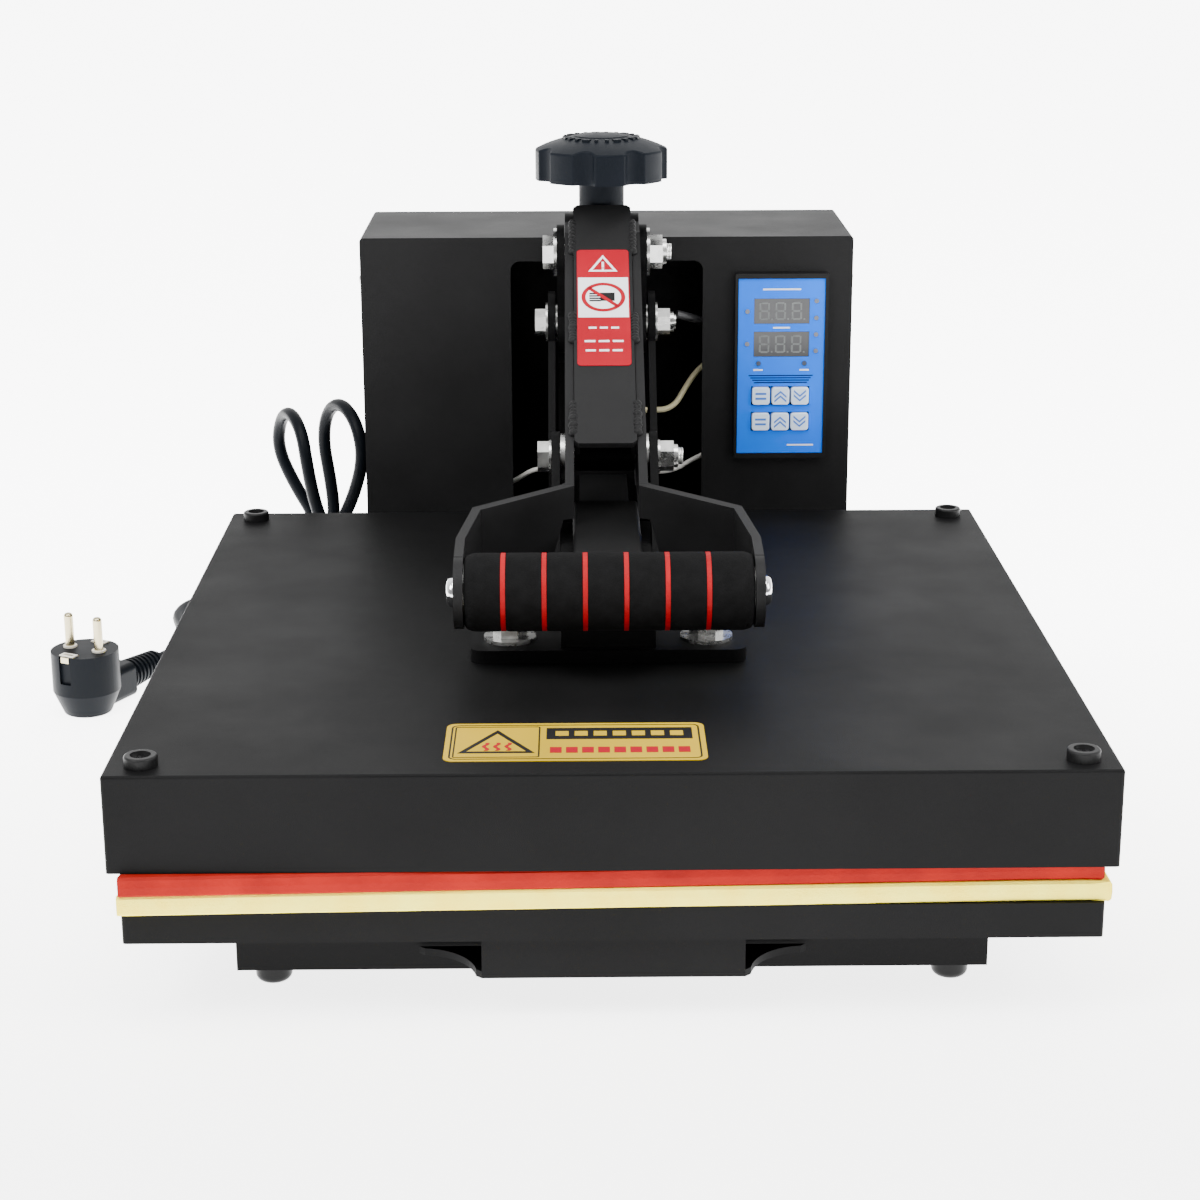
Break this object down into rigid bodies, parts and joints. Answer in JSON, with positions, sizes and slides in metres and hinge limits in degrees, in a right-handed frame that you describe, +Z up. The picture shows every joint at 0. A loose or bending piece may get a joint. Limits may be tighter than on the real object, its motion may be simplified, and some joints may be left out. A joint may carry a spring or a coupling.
{
  "type": "clamshell heat press",
  "caption": "Flat clamshell heat press with a toggle lifting handle, foam grip, pressure knob, heated platen, padded tray, control box and mains cord.",
  "frame": {"origin": "on the floor under the middle of the machine, measured without its mains cord and plug", "axes": "+Z up, -Y to the front where the grip is, +X to the right as seen from the front"},
  "size_m": [0.4915, 0.5978, 0.3076],
  "materials": {
    "black_powder_coat": "matte powder coat",
    "box_paint": "satin paint",
    "zinc_steel": "zinc plated",
    "link_steel": "plain steel",
    "chrome_cap": "polished",
    "platen_aluminium": "cast and machined",
    "element_steel": "heat tinted",
    "black_rubber": "glossy rubber",
    "red_silicone": "satin silicone",
    "cream_felt": "pressed felt",
    "glass_wool": "glass fibre",
    "black_foam": "closed cell foam",
    "red_ring": "satin",
    "black_plastic": "fine texture",
    "knob_plastic": "satin moulded",
    "blue_face": "printed film",
    "dark_window": "tinted",
    "white_button": "satin",
    "gold_plate": "printed foil",
    "label_print": "printed film",
    "wire_sheath": "sleeve",
    "terminal_plastic": "moulded",
    "pin_brass": "nickel plated"
  },
  "bodies": {
    "base": {"rubber_feet": "black_rubber", "foot_screws": "zinc_steel", "base_frame": "black_powder_coat", "lower_tray": "black_powder_coat", "felt_pad": "cream_felt", "silicone_pad": "red_silicone", "upright_frame": "black_powder_coat", "upright_bolts": "zinc_steel", "handle_pivot_bolt": "zinc_steel", "arm_pivot_bolt": "zinc_steel", "box_cover": "box_paint", "box_front": "box_paint", "box_back": "box_paint", "switch_body": "black_plastic", "fuse_holder": "black_plastic", "controller_bezel": "black_plastic", "controller_faceplate": "blue_face", "display_windows": "dark_window", "controller_case": "black_plastic", "box_electrics": "terminal_plastic", "box_wiring": "wire_sheath", "cable_gland": "zinc_steel", "cord_lead": "black_rubber", "cord_hank": "black_rubber", "cord_tail": "black_rubber", "plug_body": "black_rubber", "plug_contacts": "pin_brass"},
    "lift_arm": {"arm_tube": "black_powder_coat", "arm_hinge_plates": "black_powder_coat", "foot_plate": "black_powder_coat", "platen_studs": "zinc_steel", "platen_cover": "black_powder_coat", "corner_caps": "black_plastic", "corner_screws": "chrome_cap", "heating_platen": "platen_aluminium", "heating_element": "element_steel", "insulation_blanket": "glass_wool", "caution_plate": "gold_plate"},
    "handle": {"left_yoke_plate": "black_powder_coat", "right_yoke_plate": "black_powder_coat", "handle_hood": "black_powder_coat", "warning_label": "label_print", "grip_core": "link_steel", "foam_grip": "black_foam", "grip_rings": "red_ring", "grip_end_screws": "chrome_cap", "link_top_bolt": "zinc_steel", "screw_block": "black_powder_coat"},
    "toggle_link": {"toggle_links": "black_powder_coat", "link_foot_pins": "zinc_steel"},
    "screw_foot": {"screw_foot": "zinc_steel"},
    "knob": {"pressure_screw": "zinc_steel", "pressure_knob": "knob_plastic"},
    "power_switch": {"switch_rocker": "black_plastic"},
    "temperature_select_key": {"temperature_select_button": "white_button"},
    "temperature_up_key": {"temperature_up_button": "white_button"},
    "temperature_down_key": {"temperature_down_button": "white_button"},
    "time_select_key": {"time_select_button": "white_button"},
    "time_up_key": {"time_up_button": "white_button"},
    "time_down_key": {"time_down_button": "white_button"}
  },
  "joints": [
    {"name": "arm_lift", "type": "hinge", "parent": "base", "child": "lift_arm", "pos_m": [0, 0.1365, 0.209], "axis": [-1, 0, 0], "range_deg": [0, 25.9]},
    {"name": "handle_swing", "type": "hinge", "parent": "base", "child": "handle", "pos_m": [0, 0.1225, 0.2476], "axis": [-1, 0, 0], "range_deg": [0, 42]},
    {"name": "link_swing", "type": "hinge", "parent": "handle", "child": "toggle_link", "pos_m": [0, 0.0175, 0.166], "axis": [-1, 0, 0], "range_deg": [-54, 0]},
    {"name": "screw_feed", "type": "slide", "parent": "handle", "child": "screw_foot", "axis": [0, 0, 1], "range_m": [-0.002, 0.002]},
    {"name": "knob_spin", "type": "hinge", "parent": "screw_foot", "child": "knob", "pos_m": [0, 0.1225, 0.29], "axis": [0, 0, 1], "range_deg": [-360, 360]},
    {"name": "switch_rock", "type": "hinge", "parent": "base", "child": "power_switch", "pos_m": [0.083, 0.2515, 0.084], "axis": [1, 0, 0], "range_deg": [-8, 8]},
    {"name": "temperature_select_press", "type": "slide", "parent": "base", "child": "temperature_select_key", "axis": [0, 1, 0], "range_m": [0, 0.001], "stiffness_N_per_m": 300, "springref_m": -0.001},
    {"name": "temperature_up_press", "type": "slide", "parent": "base", "child": "temperature_up_key", "axis": [0, 1, 0], "range_m": [0, 0.001], "stiffness_N_per_m": 300, "springref_m": -0.001},
    {"name": "temperature_down_press", "type": "slide", "parent": "base", "child": "temperature_down_key", "axis": [0, 1, 0], "range_m": [0, 0.001], "stiffness_N_per_m": 300, "springref_m": -0.001},
    {"name": "time_select_press", "type": "slide", "parent": "base", "child": "time_select_key", "axis": [0, 1, 0], "range_m": [0, 0.001], "stiffness_N_per_m": 300, "springref_m": -0.001},
    {"name": "time_up_press", "type": "slide", "parent": "base", "child": "time_up_key", "axis": [0, 1, 0], "range_m": [0, 0.001], "stiffness_N_per_m": 300, "springref_m": -0.001},
    {"name": "time_down_press", "type": "slide", "parent": "base", "child": "time_down_key", "axis": [0, 1, 0], "range_m": [0, 0.001], "stiffness_N_per_m": 300, "springref_m": -0.001}
  ],
  "couplings": [
    {"joint": "handle_swing", "follows": "arm_lift", "ratio": 1.621},
    {"joint": "link_swing", "follows": "arm_lift", "ratio": -2.0626},
    {"joint": "screw_feed", "follows": "knob_spin", "m_per_rad": 0.000318}
  ]
}
